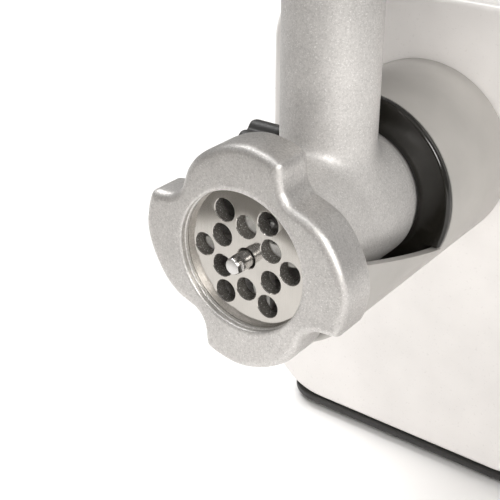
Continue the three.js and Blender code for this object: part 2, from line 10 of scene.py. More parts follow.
import bmesh
import bpy
import numpy as np
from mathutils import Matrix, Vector

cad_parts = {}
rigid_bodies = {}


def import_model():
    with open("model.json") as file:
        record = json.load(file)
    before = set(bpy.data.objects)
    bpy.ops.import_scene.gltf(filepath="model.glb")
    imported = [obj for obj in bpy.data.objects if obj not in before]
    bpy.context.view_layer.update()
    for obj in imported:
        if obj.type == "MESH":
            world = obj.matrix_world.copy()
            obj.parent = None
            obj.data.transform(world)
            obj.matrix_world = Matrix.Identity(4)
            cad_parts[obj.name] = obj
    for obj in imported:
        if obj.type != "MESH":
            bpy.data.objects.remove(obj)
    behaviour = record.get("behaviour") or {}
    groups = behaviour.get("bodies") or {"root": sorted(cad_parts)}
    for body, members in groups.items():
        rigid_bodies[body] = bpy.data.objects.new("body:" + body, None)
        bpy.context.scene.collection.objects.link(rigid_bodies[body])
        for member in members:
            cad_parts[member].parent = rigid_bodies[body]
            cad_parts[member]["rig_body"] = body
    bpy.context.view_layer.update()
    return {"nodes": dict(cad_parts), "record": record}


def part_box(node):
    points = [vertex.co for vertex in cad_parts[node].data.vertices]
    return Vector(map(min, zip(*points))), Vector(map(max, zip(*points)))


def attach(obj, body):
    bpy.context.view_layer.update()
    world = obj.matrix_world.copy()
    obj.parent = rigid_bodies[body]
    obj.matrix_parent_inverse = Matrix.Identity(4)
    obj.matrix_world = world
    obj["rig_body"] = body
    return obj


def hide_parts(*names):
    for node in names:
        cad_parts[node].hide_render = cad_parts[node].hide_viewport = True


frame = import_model()

MM = 0.001
TAU = 2 * math.pi

plate_low, plate_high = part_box("grinding_plate")
ORIGIN = Vector((0, plate_low.y, (plate_low.z + plate_high.z) / 2))
SLOTS = {part["node"]: part["material_slot"] for part in frame["record"]["subparts"]}


def span(node, axis):
    """Where a CAD node begins and ends along x (0), y (1) or z (2), in machine millimetres."""
    low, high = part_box(node)
    return (low[axis] - ORIGIN[axis]) / MM, (high[axis] - ORIGIN[axis]) / MM


# ---------- mesh tools ----------
def to_frame(points):
    return np.asarray(points, float) * MM + np.array(ORIGIN)


def make_object(name, points, faces):
    mesh = bpy.data.meshes.new(name)
    mesh.from_pydata([tuple(p) for p in to_frame(points)], [], faces)
    work = bmesh.new()
    work.from_mesh(mesh)
    bmesh.ops.remove_doubles(work, verts=work.verts, dist=1e-6)
    bmesh.ops.dissolve_degenerate(work, edges=work.edges, dist=1e-7)
    bmesh.ops.recalc_face_normals(work, faces=work.faces)
    work.to_mesh(mesh)
    work.free()
    obj = bpy.data.objects.new(name, mesh)
    bpy.context.scene.collection.objects.link(obj)
    return obj


def loft(name, rows, loop=False):
    """A skin over closed rows of points, capped at both ends, or joined last to first when loop is set."""
    rows = np.asarray(rows, float)
    count, across, _ = rows.shape
    faces = []
    for i in range(count if loop else count - 1):
        a, b = i * across, ((i + 1) % count) * across
        faces += [(a + j, a + (j + 1) % across, b + (j + 1) % across, b + j) for j in range(across)]
    if not loop:
        faces.append(tuple(range(across - 1, -1, -1)))
        faces.append(tuple(range((count - 1) * across, count * across)))
    return make_object(name, rows.reshape(-1, 3), faces)


def lay(axis, u, v, t):
    """A point (u, v) of an outline, pushed t along an axis."""
    return {"x": (t, u, v), "y": (u, t, v), "z": (u, v, t)}[axis]


def revolve(name, profile, axis="y", at=(0, 0), segments=96, loop=False):
    """A turned solid from (radius, place along the axis) points."""
    angles = np.arange(segments) * TAU / segments
    rows = []
    for r, t in profile:
        rows.append([lay(axis, at[0] + r * math.cos(a), at[1] + r * math.sin(a), t) for a in angles])
    return loft(name, rows, loop)


def rounded(points, radii, steps=5, closed=False):
    """A polyline with its corners turned into arcs. radii is one radius or one for each point."""
    points = [np.array(p, float) for p in points]
    count = len(points)
    radii = [radii] * count if np.isscalar(radii) else radii
    result = []
    for i, p in enumerate(points):
        if not closed and i in (0, count - 1) or radii[i] <= 0:
            result.append(tuple(p))
            continue
        before, after = points[i - 1] - p, points[(i + 1) % count] - p
        reach_a, reach_b = np.linalg.norm(before), np.linalg.norm(after)
        before, after = before / reach_a, after / reach_b
        half = math.acos(np.clip(before @ after, -1, 1)) / 2
        if half > math.pi / 2 - 0.02 or half < 0.02:
            result.append(tuple(p))
            continue
        cut = min(radii[i] / math.tan(half), 0.49 * reach_a, 0.49 * reach_b)
        radius = cut * math.tan(half)
        middle = (before + after) / np.linalg.norm(before + after)
        centre = p + middle * radius / math.sin(half)
        start = p + before * cut - centre
        end = p + after * cut - centre
        a0 = math.atan2(start[1], start[0])
        turn = (math.atan2(end[1], end[0]) - a0 + math.pi) % TAU - math.pi
        for k in range(steps + 1):
            a = a0 + turn * k / steps
            result.append(tuple(centre + radius * np.array([math.cos(a), math.sin(a)])))
    return result


def rounded_rectangle(x0, x1, y0, y1, radius, steps=10):
    return rounded([(x0, y0), (x1, y0), (x1, y1), (x0, y1)], radius, steps, closed=True)


def circle(radius, at=(0, 0), segments=64):
    angles = np.arange(segments) * TAU / segments
    return [(at[0] + radius * math.cos(a), at[1] + radius * math.sin(a)) for a in angles]


def polar(radius, degrees):
    return radius * math.cos(math.radians(degrees)), radius * math.sin(math.radians(degrees))


def inset(outline, distance):
    """The outline moved inwards along its own normals."""
    p = np.asarray(outline, float)
    along = np.roll(p, -1, 0) - np.roll(p, 1, 0)
    length = np.maximum(np.linalg.norm(along, axis=1), 1e-9)
    normal = np.stack([-along[:, 1], along[:, 0]], 1) / length[:, None]
    area = np.sum(p[:, 0] * np.roll(p[:, 1], -1) - np.roll(p[:, 0], -1) * p[:, 1])
    return p + math.copysign(distance, area) * normal


def prism(name, outline, t0, t1, axis="y", edge=(0, 0), steps=4):
    """An outline pushed along an axis, with a round edge at each end."""
    rows = []
    for end, sign, radius in ((t0, 1, edge[0]), (t1, -1, edge[1])):
        turns = np.linspace(0, math.pi / 2, steps + 1) if radius else [math.pi / 2]
        part = [[lay(axis, u, v, end + sign * radius * (1 - math.cos(a)))
                 for u, v in inset(outline, radius * (1 - math.sin(a)))] for a in turns]
        rows += part if sign > 0 else part[::-1]
    return loft(name, rows)


def bake(obj):
    """Applies the object's modifiers to its mesh."""
    graph = bpy.context.evaluated_depsgraph_get()
    mesh = bpy.data.meshes.new_from_object(obj.evaluated_get(graph))
    obj.modifiers.clear()
    obj.data = mesh
    return obj


def boolean(obj, others, operation="DIFFERENCE"):
    for other in others:
        modifier = obj.modifiers.new("boolean", "BOOLEAN")
        modifier.operation = operation
        modifier.solver = "EXACT"
        modifier.object = other
    bake(obj)
    for other in others:
        bpy.data.objects.remove(other)
    return obj


def soften(obj, width, angle=32, segments=3):
    """Rounds every edge sharper than the angle, width in millimetres."""
    modifier = obj.modifiers.new("bevel", "BEVEL")
    modifier.width = width * MM
    modifier.segments = segments
    modifier.limit_method = "ANGLE"
    modifier.angle_limit = math.radians(angle)
    modifier.use_clamp_overlap = True
    modifier.harden_normals = False
    return bake(obj)


def stands_for(obj, node, material, sharp=40, also=()):
    """Shades a piece and puts it in the place of CAD nodes, on their body."""
    obj.data.materials.clear()
    obj.data.materials.append(material)
    obj.data.polygons.foreach_set("use_smooth", [True] * len(obj.data.polygons))
    obj.data.set_sharp_from_angle(angle=math.radians(sharp))
    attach(obj, frame["nodes"][node]["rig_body"])
    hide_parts(node, *also)
    return obj


# ---------- materials ----------
class Shader:
    """A Principled material whose colour, roughness and bump come from small chains of nodes."""

    def __init__(self, name, **constants):
        self.material = bpy.data.materials.new(name)
        self.material.use_nodes = True
        self.tree = self.material.node_tree
        self.tree.nodes.clear()
        output = self.tree.nodes.new("ShaderNodeOutputMaterial")
        self.surface = self.tree.nodes.new("ShaderNodeBsdfPrincipled")
        self.tree.links.new(self.surface.outputs[0], output.inputs[0])
        self.place = self.tree.nodes.new("ShaderNodeTexCoord").outputs["Object"]
        for socket, value in constants.items():
            self.surface.inputs[socket.replace("_", " ")].default_value = value

    def node(self, kind, settings=(), **inputs):
        node = self.tree.nodes.new("ShaderNode" + kind)
        for key, value in dict(settings).items():
            setattr(node, key, value)
        for key, value in inputs.items():
            socket = node.inputs[int(key[1:])] if key[0] == "_" else node.inputs[key.replace("_", " ")]
            if isinstance(value, bpy.types.NodeSocket):
                self.tree.links.new(value, socket)
            else:
                socket.default_value = value
        return node

    def stretched(self, x, y, z):
        return self.node("Mapping", Vector=self.place, Scale=(x, y, z)).outputs[0]

    def noise(self, size, detail=3, rough=0.55):
        """Cloudy noise with blotches of about this size, in millimetres."""
        node = self.node("TexNoise", Vector=self.place, Scale=1 / (size * MM), Detail=detail,
                         Roughness=rough)
        return node.outputs["Fac"]

    def streaks(self, size, stretch, detail=2):
        """Noise drawn out along the directions where stretch is small."""
        where = self.stretched(*stretch)
        node = self.node("TexNoise", Vector=where, Scale=1 / (size * MM), Detail=detail, Roughness=0.5)
        return node.outputs["Fac"]

    def between(self, factor, low, high, start=0.3, end=0.7):
        """Maps a factor to a number from low to high."""
        node = self.node("MapRange", Value=factor, _1=start, _2=end, _3=low, _4=high)
        return node.outputs[0]

    def blend(self, factor, first, second):
        mix = self.node("Mix", {"data_type": "RGBA"}, _0=factor)
        for index, value in ((6, first), (7, second)):
            if isinstance(value, bpy.types.NodeSocket):
                self.tree.links.new(value, mix.inputs[index])
            else:
                mix.inputs[index].default_value = (*value, 1)
        return mix.outputs[2]

    def set(self, socket, value):
        self.tree.links.new(value, self.surface.inputs[socket])

    def bump(self, *layers):
        """Each layer is a height factor and its depth in millimetres."""
        normal = None
        for height, depth in layers:
            inputs = {"Height": height, "Distance": depth * MM, "Strength": 1.0}
            if normal is not None:
                inputs["Normal"] = normal
            normal = self.node("Bump", **inputs).outputs[0]
        self.set("Normal", normal)


def shade(colour, factor):
    return tuple(min(1, c * factor) for c in colour)


def cast_aluminium(name="cast_aluminium", base=(0.585, 0.568, 0.551), metallic=0.88, low=0.36, high=0.52,
                   depth=1.0):
    """Sand-cast alloy: cloudy tone, dark pores, bright rubbed points and a fine bumpy skin."""
    s = Shader(name, Metallic=metallic, Specular_IOR_Level=0.5)
    cloud = s.noise(11, detail=4)
    grain = s.noise(0.85, detail=4, rough=0.8)
    speck = s.noise(0.45, detail=2)
    colour = s.blend(s.between(cloud, 0, 1), shade(base, 0.93), shade(base, 1.06))
    colour = s.blend(s.between(grain, 0, 0.5, 0.45, 0.66), colour, shade(base, 0.55))
    colour = s.blend(s.between(speck, 0, 0.65, 0.58, 0.72), colour, (0.9, 0.89, 0.87))
    s.set("Base Color", colour)
    s.set("Roughness", s.between(grain, low, high))
    s.bump((cloud, 0.06 * depth), (grain, 0.09 * depth), (speck, 0.045 * depth))
    return s.material


def ground_steel():
    s = Shader("ground_plate_steel", Metallic=1.0)
    base = (0.5, 0.479, 0.448)
    marks = s.streaks(0.12, (1.0, 1.0, 0.02), detail=3)
    wear = s.noise(9, detail=3)
    colour = s.blend(s.between(wear, 0, 1), shade(base, 0.94), shade(base, 1.04))
    s.set("Base Color", s.blend(s.between(marks, 0, 0.25), colour, shade(base, 0.8)))
    s.set("Roughness", s.between(marks, 0.07, 0.15))
    s.bump((marks, 0.0008), (wear, 0.004))
    return s.material


def turned_steel(name="turned_steel", base=(0.62, 0.61, 0.6), low=0.16, high=0.3,
                 direction=(0.02, 1.0, 0.02)):
    """Steel with fine rings along the given axis, as a lathe leaves."""
    s = Shader(name, Metallic=1.0)
    rings = s.streaks(0.14, direction, detail=3)
    cloud = s.noise(6)
    s.set("Base Color", s.blend(s.between(cloud, 0, 1), shade(base, 0.9), shade(base, 1.08)))
    s.set("Roughness", s.between(rings, low, high))
    s.bump((rings, 0.004))
    return s.material


def brushed_tray_steel():
    s = Shader("brushed_tray_steel", Metallic=1.0)
    base = (0.66, 0.66, 0.655)
    lines = s.streaks(0.2, (0.015, 1.0, 1.0), detail=4)
    cloud = s.noise(30)
    s.set("Base Color", s.blend(s.between(cloud, 0, 1), shade(base, 0.95), shade(base, 1.05)))
    s.set("Roughness", s.between(lines, 0.2, 0.38))
    s.bump((lines, 0.004))
    return s.material


def moulded_plastic(name, base, rough=(0.34, 0.46), grain_size=0.35, depth=0.02, cloud_size=22,
                    **constants):
    """Moulded plastic: a spark-eroded grain, faint flow clouds and uneven gloss."""
    s = Shader(name, **constants)
    cloud = s.noise(cloud_size, detail=3)
    grain = s.noise(grain_size, detail=3, rough=0.6)
    s.set("Base Color", s.blend(s.between(cloud, 0, 1), shade(base, 0.94), shade(base, 1.06)))
    s.set("Roughness", s.between(grain, *rough))
    s.bump((grain, depth))
    return s.material


def rubber():
    s = Shader("rubber", Specular_IOR_Level=0.35)
    grain = s.noise(0.5, detail=4)
    dust = s.noise(8)
    s.set("Base Color", s.blend(s.between(dust, 0, 1), (0.022, 0.022, 0.022), (0.04, 0.04, 0.038)))
    s.set("Roughness", s.between(grain, 0.7, 0.9))
    s.bump((grain, 0.05))
    return s.material


def circuit_board():
    s = Shader("circuit_board", Roughness=0.4)
    tracks = s.node("TexBrick", Vector=s.stretched(1, 1, 1), Scale=160.0,
                    Color1=(0.02, 0.12, 0.05, 1), Color2=(0.03, 0.16, 0.07, 1), Mortar=(0.35, 0.25, 0.1, 1))
    s.set("Base Color", tracks.outputs["Color"])
    s.bump((tracks.outputs["Fac"], 0.03))
    return s.material


CAST = cast_aluminium()
BARREL = cast_aluminium("matt_cast_aluminium", (0.57, 0.554, 0.538), 0.42, 0.42, 0.58, 0.6)
PLATE_STEEL = ground_steel()
TURNED = turned_steel()
# Hole walls: rougher drilled steel whose dark colour is painted shade for the insides of the holes.
DRILLED_PAINTED_SHADE = cast_aluminium("drilled_steel_painted_shade", (0.15, 0.14, 0.125), 0.6, 0.45, 0.6, 0.4)
KNIFE_STEEL = cast_aluminium("knife_steel", (0.72, 0.7, 0.66), 0.35, 0.35, 0.5, 0.3)
TRAY_STEEL = brushed_tray_steel()
LIGHT_GREY = moulded_plastic("light_grey_plastic", (0.37, 0.355, 0.335))
BLACK_GLOSS = moulded_plastic("black_gloss_plastic", (0.011, 0.010, 0.008), (0.1, 0.17), 2.2, 0.006)
BLACK_GRAIN = moulded_plastic("black_grained_plastic", (0.018, 0.017, 0.016), (0.42, 0.6), 0.4, 0.05)
NYLON = moulded_plastic("white_nylon", (0.74, 0.72, 0.67), (0.3, 0.42), 0.6, 0.01, Subsurface_Weight=0.1)
WHITE = moulded_plastic("white_plastic", (0.78, 0.755, 0.735), (0.26, 0.36), 1.4, 0.008, 40)
RUBBER = rubber()
BRONZE = turned_steel("bronze", (0.55, 0.33, 0.16), 0.2, 0.4)
BOARD = circuit_board()
INSIDE = {"cast_alloy": CAST, "steel": TURNED, "bronze": BRONZE, "nylon": NYLON, "board": BOARD,
          "black_plastic": BLACK_GRAIN, "rubber": RUBBER, "plate_steel": PLATE_STEEL,
          "tray_steel": TRAY_STEEL, "light_grey_plastic": LIGHT_GREY, "white_plastic": WHITE}


# ---------- camera, light and floor ----------
VIEW_AZIMUTH, VIEW_ELEVATION = 37.1, 27.7  # degrees
VIEW_DISTANCE = 0.345  # from the camera to the plate's face, along the view
VIEW_SHIFT = (-0.0013, 0.0028)  # how far the plate's centre lies right of and below the view's middle
LENS, SENSOR = 76.3, 36.0


def view_axes():
    az, el = math.radians(VIEW_AZIMUTH), math.radians(VIEW_ELEVATION)
    right = Vector((math.cos(az), math.sin(az), 0))
    forward = Vector((-math.sin(az) * math.cos(el), math.cos(az) * math.cos(el), -math.sin(el)))
    return right, right.cross(forward), forward


def make_camera():
    right, up, forward = view_axes()
    data = bpy.data.cameras.new("camera")
    data.lens, data.sensor_width = LENS, SENSOR
    data.clip_start = 0.01
    camera = bpy.data.objects.new("camera", data)
    camera.location = ORIGIN - forward * VIEW_DISTANCE - right * VIEW_SHIFT[0] + up * VIEW_SHIFT[1]
    camera.rotation_euler = forward.to_track_quat("-Z", "Y").to_euler()
    bpy.context.scene.collection.objects.link(camera)
    bpy.context.scene.camera = camera


def add_light(name, data, place, target):
    light = bpy.data.objects.new(name, data)
    light.location = place
    light.rotation_euler = (Vector(target) - Vector(place)).to_track_quat("-Z", "Y").to_euler()
    bpy.context.scene.collection.objects.link(light)


def area_light(name, place, target, size, power, colour=(1, 1, 1)):
    data = bpy.data.lights.new(name, "AREA")
    data.shape = "DISK"
    data.size = size
    data.energy = power
    data.color = colour
    add_light(name, data, place, target)


def spot_light(name, place, target, radius, power):
    """A narrow beam that covers a disc of this radius around the target."""
    data = bpy.data.lights.new(name, "SPOT")
    data.energy = power
    data.shadow_soft_size = 0.02
    data.spot_size = 2 * math.atan(radius / (Vector(target) - Vector(place)).length)
    data.spot_blend = 0.2
    add_light(name, data, place, target)


def sheet(name, corners, material):
    """A flat four-cornered surface."""
    mesh = bpy.data.meshes.new(name)
    mesh.from_pydata([tuple(p) for p in corners], [], [(0, 1, 2, 3)])
    mesh.materials.append(material)
    obj = bpy.data.objects.new(name, mesh)
    bpy.context.scene.collection.objects.link(obj)
    return obj


# The card of painted shade that only the metal's reflections show.
FLAG = {"distance": 0.3075, "half_width": 0.55, "height": 0.3, "lean": 0.1, "fade": 0.014,
        "heading": -108}


def make_flag():
    """A dark card at the table's front edge, seen only in reflections: painted shade that gives the metal
    contrast.
    """
    heading = math.radians(FLAG["heading"])
    away = Vector((math.cos(heading), math.sin(heading), 0))
    side = FLAG["half_width"] * Vector((-away.y, away.x, 0))
    foot = Vector((ORIGIN.x, ORIGIN.y, 0)) + away * FLAG["distance"]
    top = foot + Vector((0, 0, FLAG["height"])) + away * FLAG["lean"]
    s = Shader("flag", Roughness=1.0, Specular_IOR_Level=0.1)
    height = s.node("SeparateXYZ", Vector=s.place).outputs["Z"]
    fade = s.between(height, 1, 0, 0.0, FLAG["fade"])
    # Painted shade: dark above a light strip at the foot that matches the floor.
    s.set("Base Color", s.blend(fade, (0.27, 0.26, 0.245), (0.8, 0.79, 0.77)))
    flag = sheet("flag", (foot - side, foot + side, top + side, top - side), s.material)
    flag.visible_camera = flag.visible_diffuse = flag.visible_shadow = flag.visible_transmission = False


FLOOR_SIZE = 8.0


def make_studio():
    scene = bpy.context.scene
    scene.view_settings.view_transform = "Standard"
    world = bpy.data.worlds.new("studio")
    world.use_nodes = True
    background = world.node_tree.nodes["Background"]
    background.inputs["Color"].default_value = (1.0, 0.985, 0.97, 1)
    background.inputs["Strength"].default_value = 0.32
    scene.world = world
    area_light("key", (0.95, -0.74, 0.76), (0.2, -0.05, 0.08), 0.6, 13, (1, 0.985, 0.965))
    area_light("overhead", (-0.1, -0.75, 1.25), (0, -0.1, 0.1), 0.35, 1.9)
    spot_light("through the holes", (0.1, -1.25, 0.36), ORIGIN, 0.022, 26)
    area_light("ceiling", (-1.0, 0.05, 2.0), (-0.4, 0.4, 0), 1.2, 50)
    area_light("rim", (0.9, 1.3, 1.0), (0, -0.05, 0.15), 0.7, 0.9)
    make_flag()

    half = FLOOR_SIZE / 2
    s = Shader("floor", Specular_IOR_Level=0.2)
    cloud = s.noise(120)
    s.set("Base Color", s.blend(s.between(cloud, 0, 1), (0.87, 0.86, 0.85), (0.89, 0.88, 0.87)))
    s.set("Roughness", s.between(cloud, 0.5, 0.6))
    corners = ((-half, -half, 0), (half, -half, 0), (half, half, 0), (-half, half, 0))
    floor = sheet("floor", corners, s.material)


# ---------- head ----------
def smooth_loop(points, steps):
    """A closed smooth curve through the points."""
    p = np.asarray(points, float)
    t = np.linspace(0, 1, steps, endpoint=False)[:, None]
    result = []
    for i in range(len(p)):
        a, b, c, d = p[i - 1], p[i], p[(i + 1) % len(p)], p[(i + 2) % len(p)]
        result.append(0.5 * (2 * b + (c - a) * t + (2 * a - 5 * b + 4 * c - d) * t ** 2
                             + (3 * b - a - 3 * c + d) * t ** 3))
    return np.concatenate(result)


def pinwheel_outline():
    """The ring nut's outline: each lobe swells slowly, rounds a corner and drops steeply into a notch."""
    quarter = [(56, 32.0), (51, 31.8), (45, 33.1), (38, 35.1), (29, 36.9), (18, 38.4), (7, 39.9), (-3, 40.9),
               (-12, 40.9), (-18, 40.85), (-21.5, 40.4), (-23.7, 38.7), (-26, 36.0), (-29.5, 33.4)]
    points = [polar(radius, degrees + 90 * k) for k in range(3, -1, -1) for degrees, radius in quarter]
    return smooth_loop(points[::-1], 10)


def make_ring_nut():
    front, rear = span("ring_nut", 1)
    mouth, seat, thread = 24.65, 27.4, 29.7
    edge, lip, chamfer = 3.0, 0.55, 0.7
    outline = pinwheel_outline()
    angle = np.arctan2(outline[:, 1], outline[:, 0])

    def ring(radius, y):
        return np.stack([radius * np.cos(angle), np.full(len(angle), y), radius * np.sin(angle)], 1)

    def skirt(distance, y):
        edge_line = inset(outline, distance)
        return np.stack([edge_line[:, 0], np.full(len(angle), y), edge_line[:, 1]], 1)

    rows = [ring(mouth, front + lip), ring(mouth + 0.15, front + 0.22), ring(mouth + 0.45, front)]
    face_edge = skirt(edge, front)
    for part in (0.12, 0.3, 0.55, 0.8):
        rows.append(rows[2] + (face_edge - rows[2]) * part)
    for a in np.linspace(0, math.pi / 2, 9):
        rows.append(skirt(edge * (1 - math.sin(a)), front + edge * (1 - math.cos(a))))
    rows += [skirt(0, y) for y in np.linspace(front + edge + 1.5, rear - chamfer - 0.8, 4)]
    for a in (0, 0.5, 1.0, math.pi / 2):
        rows.append(skirt(chamfer * (1 - math.cos(a)), rear - chamfer * (1 - math.sin(a))))
    rows += [ring(thread + 0.8, rear), ring(thread, rear - 0.8)]
    turns, pitch, groove = 5, 1.6, 0.45
    for k in range(turns):
        y = rear - 1.4 - k * pitch
        rows += [ring(thread + groove, y), ring(thread + groove, y - 0.3)]
        rows += [ring(thread, y - 0.8), ring(thread, y - 1.0)]
    rows += [ring(thread, 0.9), ring(seat, 0.9), ring(seat, -0.08)]
    rows += [ring(mouth - 0.1, -0.08), ring(mouth - 0.1, -1.2), ring(mouth + 0.25, -1.45)]
    stands_for(loft("ring_nut_fine", rows, loop=True), "ring_nut", CAST, sharp=50)


PLATE_HOLES = {"radius": 4.0, "inner_circle": 11.4, "outer_circle": 17.35, "pin": 3.6}


def hole_cutter(radius, at, y0, y1, chamfer):
    """A hole's cutter, flared where it breaks the front and rear faces."""
    flare = chamfer + 1
    profile = [(0, y0 - 1), (radius + flare, y0 - 1), (radius, y0 + chamfer), (radius, y1 - chamfer),
               (radius + flare, y1 + 1), (0, y1 + 1)]
    return revolve("cutter", profile, "y", at, 48)


def make_grinding_plate():
    front, rear = span("grinding_plate", 1)
    radius = span("grinding_plate", 0)[1]
    profile = rounded([(0, front), (radius, front), (radius, rear), (0, rear)], 0.4)
    disc = revolve("grinding_plate_fine", profile, segments=160)
    cutters = [hole_cutter(PLATE_HOLES["pin"], (0, 0), front, rear, 0.3)]
    for k in range(6):
        for circle_radius, degrees in ((PLATE_HOLES["inner_circle"], 30 + 60 * k),
                                       (PLATE_HOLES["outer_circle"], 60 * k)):
            at = polar(circle_radius, degrees)
            cutters.append(hole_cutter(PLATE_HOLES["radius"], at, front, rear, 0.22))
    notch = rounded_rectangle(-2.3, 2.3, radius - 2.6, radius + 3, 0.8, 4)
    cutters.append(prism("notch", notch, 2, rear + 1))
    plate = stands_for(boolean(disc, cutters), "grinding_plate", PLATE_STEEL, sharp=25)
    # The hole walls take the dark material: painted shade inside the holes.
    plate.data.materials.append(DRILLED_PAINTED_SHADE)
    for face in plate.data.polygons:
        in_hole = math.hypot(face.center.x - ORIGIN.x, face.center.z - ORIGIN.z) < (radius - 1) * MM
        if in_hole and abs(face.normal.y) < 0.5:
            face.material_index = 1


def make_pin():
    """The auger's front stud: two flats and a bright chamfered tip, with the knife's square behind."""
    tip, high = span("auger_pin", 1)
    profile = rounded([(0, tip), (2.5, tip), (2.85, tip + 0.5), (3.1, tip + 3.2), (3.1, high), (0, high)],
                      [0, 0.15, 0.2, 0.5, 0.2, 0], 3)
    pin = revolve("auger_pin_fine", profile, segments=64)
    flats = [prism("flat", rounded_rectangle(*sides, -6, 6, 0.2, 2), tip - 1, tip + 2.4)
             for sides in ((2.45, 6), (-6, -2.45))]
    boolean(pin, flats)
    half = (span("auger_pin", 0)[1] - span("auger_pin", 0)[0]) / 2
    square = prism("square", rounded_rectangle(-half, half, -half, half, 0.5, 3), 5.2, 10.8, edge=(0.3, 0.3))
    boolean(pin, [square], "UNION")
    stands_for(pin, "auger_pin", TURNED, sharp=30)


KNIFE_TURN = 8  # degrees from level to the first arm


def make_knife():
    front, rear = span("cross_knife", 1)
    hub = 8
    profile = rounded([(0, front), (hub, front), (hub, rear), (0, rear)], 0.5)
    knife = revolve("cross_knife_fine", profile, segments=64)
    blades = []
    for k in range(4):
        turn = math.radians(90 * k + KNIFE_TURN)
        outline = rounded([(0, -3.4), (21, -2.6), (21.9, 0), (20.6, 3.2), (0, 4.8)],
                          [0, 0.6, 0.8, 1, 0], 4, closed=True)
        turned = [(u * math.cos(turn) - v * math.sin(turn), u * math.sin(turn) + v * math.cos(turn))
                  for u, v in outline]
        blades.append(prism("blade", turned, front, rear - 1.2, edge=(0.15, 0.9)))
    boolean(knife, blades, "UNION")
    side = 4.3
    boolean(knife, [prism("square", rounded_rectangle(-side, side, -side, side, 0.5, 3), front - 1, rear + 1)])
    stands_for(knife, "cross_knife", KNIFE_STEEL, sharp=30)


def make_auger():
    """A tapering core with a helical flight whose crest is rounded."""
    front, rear = span("auger", 1)
    steps, turns, crest = 160, 2.75, span("auger", 0)[1]
    core_front, core_rear = 10.0, 12.5
    section = [(0, -3.0), (0.15, -2.4), (0.6, -1.5), (0.93, -1.15), (1, -0.7), (1, 0.7), (0.93, 1.1),
               (0.6, 1.4), (0.15, 2.2), (0, 2.8)]
    rows = []
    for i in range(steps + 1):
        part = i / steps
        angle = part * turns * TAU
        y = front + 3.2 + part * (rear - front - 6.4)
        root = core_front + (core_rear - core_front) * part - 1.5
        row = []
        for part_out, dy in section:
            r = root + (crest - root) * part_out
            row.append((r * math.cos(angle), y + dy, r * math.sin(angle)))
        rows.append(row)
    flight = loft("flight", rows)
    profile = rounded([(0, front), (core_front, front), (core_rear, rear - 3), (core_rear, rear), (0, rear)], 1.0)
    core = revolve("auger_fine", profile, segments=64)
    boolean(core, [flight], "UNION")
    cuts = [revolve("bore", [(0, front - 1), (3.3, front - 1), (3.3, 24), (0, 24)], segments=32),
            prism("hex", circle(7.2, segments=6), rear - 8, rear + 1)]
    stands_for(boolean(core, cuts), "auger", CAST, sharp=40)


TUBE = {"bore": 13.5, "outside": 17, "lip": 19.8}


class HeadShape:
    """The casting's outside as a distance field: a turned barrel and an upright tube, softly filleted."""

    FILLET = 5.0

    def __init__(self):
        _, tail = span("head_body", 1)
        top = span("head_body", 2)[1]
        self.tube_y = sum(span("pusher", 1)) / 2
        self.barrel = np.array(rounded(
            [(0, 1), (29.2, 1), (29.2, 12.6), (28.3, 14), (27.2, 22), (25.7, 38), (25.7, 66), (24.2, 68),
             (24.2, tail), (0, tail)], [0, 1.2, 0.4, 3, 30, 30, 2.2, 0.3, 0.8, 0], 6))
        outside, lip = TUBE["outside"], TUBE["lip"]
        self.tube = np.array(rounded(
            [(0, 0), (outside, 0), (outside, top - 21), (lip, top - 12), (lip, top), (0, top)],
            [0, 0, 14, 10, 1.4, 0], 6))

    @staticmethod
    def turned(profile, radius, along):
        """Signed distance to a turned profile."""
        best = np.full(len(radius), 1e9)
        inside = np.zeros(len(radius), bool)
        for (r0, t0), (r1, t1) in zip(profile, np.roll(profile, -1, 0)):
            dr, dt = r1 - r0, t1 - t0
            part = np.clip(((radius - r0) * dr + (along - t0) * dt) / max(dr * dr + dt * dt, 1e-12), 0, 1)
            on_axis = r0 == 0 and r1 == 0
            if not on_axis:
                best = np.minimum(best, np.hypot(radius - r0 - part * dr, along - t0 - part * dt))
            crosses = (t0 > along) != (t1 > along)
            inside ^= crosses & (radius < r0 + (along - t0) * dr / (dt if dt else 1e-12))
        return np.where(inside, -best, best)

    def __call__(self, p):
        barrel = self.turned(self.barrel, np.hypot(p[:, 0], p[:, 2]), p[:, 1])
        tube = self.turned(self.tube, np.hypot(p[:, 0], p[:, 1] - self.tube_y), p[:, 2])
        blend = np.clip(0.5 + 0.5 * (tube - barrel) / self.FILLET, 0, 1)
        return tube + (barrel - tube) * blend - self.FILLET * blend * (1 - blend)

    def settle(self, p, rounds=6):
        """Moves points onto the surface."""
        for _ in range(rounds):
            value = self(p)
            slope = np.stack([self(p + step) - self(p - step) for step in np.eye(3) * 0.02], 1) / 0.04
            p = p - (value / np.maximum((slope ** 2).sum(1), 0.05))[:, None] * slope
        return p


